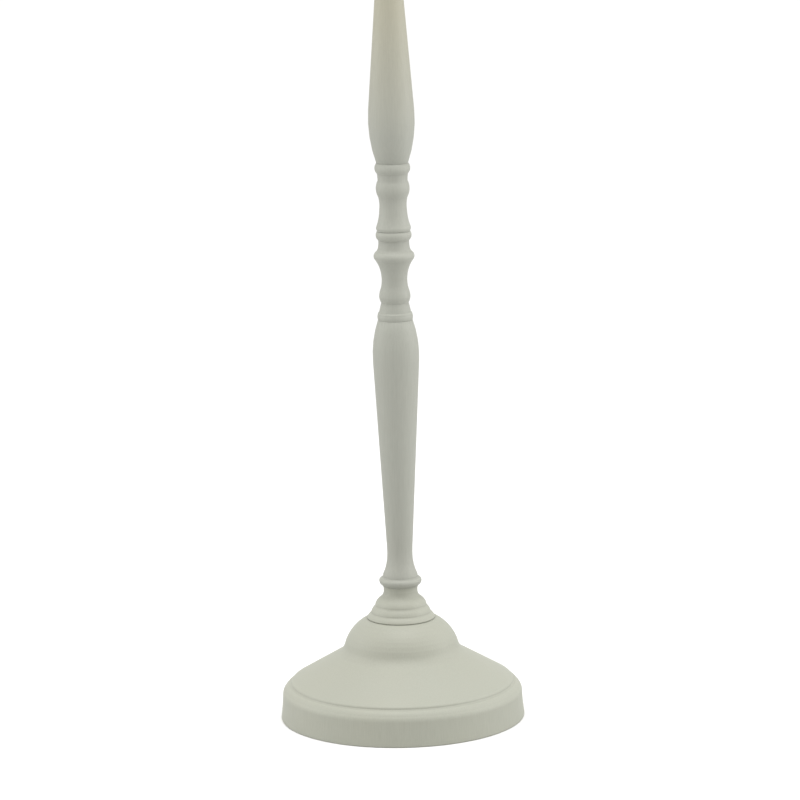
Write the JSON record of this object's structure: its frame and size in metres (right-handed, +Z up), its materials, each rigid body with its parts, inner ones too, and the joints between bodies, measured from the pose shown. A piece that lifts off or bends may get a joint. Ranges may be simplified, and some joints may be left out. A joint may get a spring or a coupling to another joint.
{
  "type": "wooden candlestick",
  "caption": "Tall floor-standing candlestick: turned and painted wooden column on a weighted domed round base, with a brass candle cup and a loose drip pan.",
  "frame": {"origin": "on the floor under the middle of the base, where the column's axis meets it", "axes": "+Z up along the column's axis; the part is turned, so X and Y are any two level directions"},
  "size_m": [0.25, 0.25, 0.8586],
  "materials": {
    "painted_wood": "eggshell putty-grey paint over turned wood",
    "brass": "turned, satin",
    "steel": "zinc plated",
    "iron": "as cast, blacked",
    "felt": "wool felt"
  },
  "bodies": {
    "candlestick": {"base_dome": "painted_wood", "column_foot": "painted_wood", "lower_spindle": "painted_wood", "lower_baluster": "painted_wood", "upper_baluster": "painted_wood", "upper_spindle": "painted_wood", "capital": "painted_wood", "base_felt": "felt", "ballast_plate": "iron", "ballast_screw_1": "steel", "ballast_screw_2": "steel", "ballast_screw_3": "steel", "base_washer": "steel", "base_spring_washer": "steel", "base_bolt": "steel", "column_foot_stud": "steel", "lower_spindle_stud": "steel", "lower_baluster_stud": "steel", "upper_baluster_stud": "steel", "upper_spindle_stud": "steel", "base_bolt_insert": "brass", "column_foot_insert": "brass", "lower_spindle_insert": "brass", "lower_baluster_insert": "brass", "upper_baluster_insert": "brass", "upper_spindle_insert": "brass", "candle_cup": "brass"},
    "pan": {"drip_pan": "brass"}
  },
  "joints": [
    {"name": "drip_pan_lift", "type": "slide", "parent": "candlestick", "child": "pan", "axis": [0, 0, 1], "range_m": [0, 0.06]}
  ]
}
